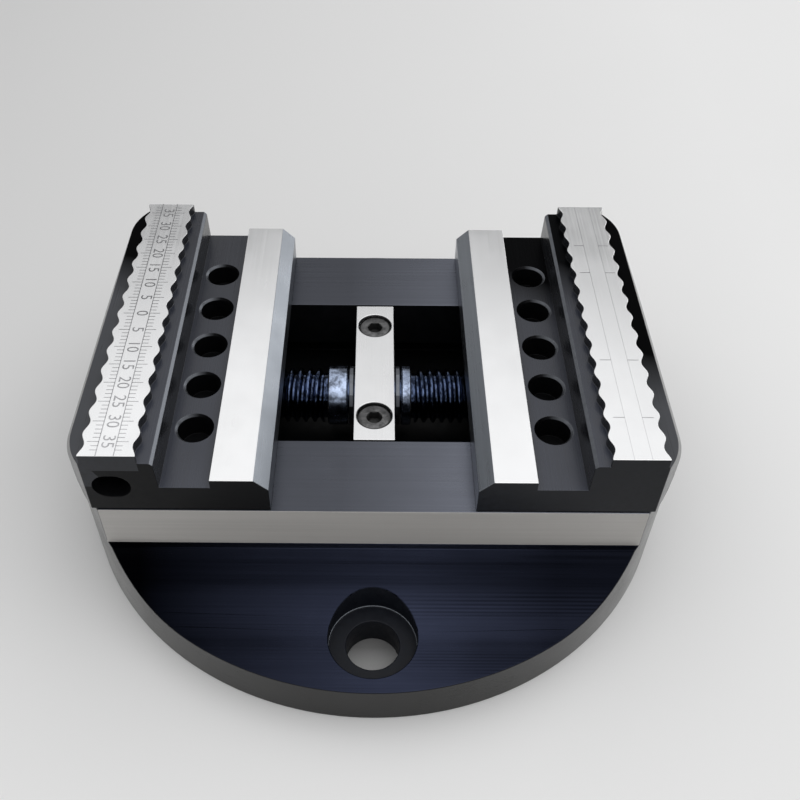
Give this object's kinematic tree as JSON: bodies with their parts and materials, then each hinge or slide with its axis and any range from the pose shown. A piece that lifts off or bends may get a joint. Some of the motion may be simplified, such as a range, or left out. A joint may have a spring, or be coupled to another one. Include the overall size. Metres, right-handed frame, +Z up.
{
  "type": "self-centering vise",
  "caption": "Round-base self-centering vise whose serrated jaws close together when one left-hand and right-hand spindle is turned with a hexagon key.",
  "frame": {"origin": "centre of the underside of the round base", "axes": "+X along the jaws' travel to the right jaw, -Y towards the front, +Z up from the base to the jaw tops"},
  "size_m": [0.13, 0.13, 0.0461],
  "materials": {
    "body_steel": "black oxide, satin, ground on the top and on the front and rear bands",
    "jaw_steel": "charcoal oxide, satin, with bright ground ridges",
    "ground_steel": "ground bright",
    "spindle_steel": "turned, oiled",
    "nut_bronze": "machined",
    "screw_steel": "dark steel"
  },
  "bodies": {
    "base": {"vise_body": "body_steel", "bearing_cap": "ground_steel", "bearing_saddle": "jaw_steel", "bearing_screw_front": "screw_steel", "bearing_screw_rear": "screw_steel", "saddle_dowel_front": "screw_steel", "saddle_dowel_rear": "screw_steel", "thrust_washer_left_upper": "ground_steel", "thrust_washer_left_lower": "ground_steel", "thrust_washer_right_upper": "ground_steel", "thrust_washer_right_lower": "ground_steel"},
    "screw": {"spindle": "spindle_steel"},
    "left_carriage": {"left_jaw": "jaw_steel", "left_nut": "nut_bronze", "left_nut_screw_front": "screw_steel", "left_nut_screw_rear": "screw_steel"},
    "right_carriage": {"right_jaw": "jaw_steel", "right_nut": "nut_bronze", "right_nut_screw_front": "screw_steel", "right_nut_screw_rear": "screw_steel"}
  },
  "joints": [
    {"name": "left_jaw_slide", "type": "slide", "parent": "base", "child": "left_carriage", "axis": [1, 0, 0], "range_m": [-0.006, 0.019]},
    {"name": "right_jaw_slide", "type": "slide", "parent": "base", "child": "right_carriage", "axis": [-1, 0, 0], "range_m": [-0.006, 0.019]},
    {"name": "spindle_turn", "type": "hinge", "parent": "base", "child": "screw", "pos_m": [0, 0, 0.0221], "axis": [1, 0, 0], "range_deg": [-1080, 3420]}
  ],
  "couplings": [
    {"joint": "right_jaw_slide", "follows": "left_jaw_slide", "ratio": 1},
    {"joint": "spindle_turn", "follows": "left_jaw_slide", "rad_per_m": 3141.6}
  ]
}
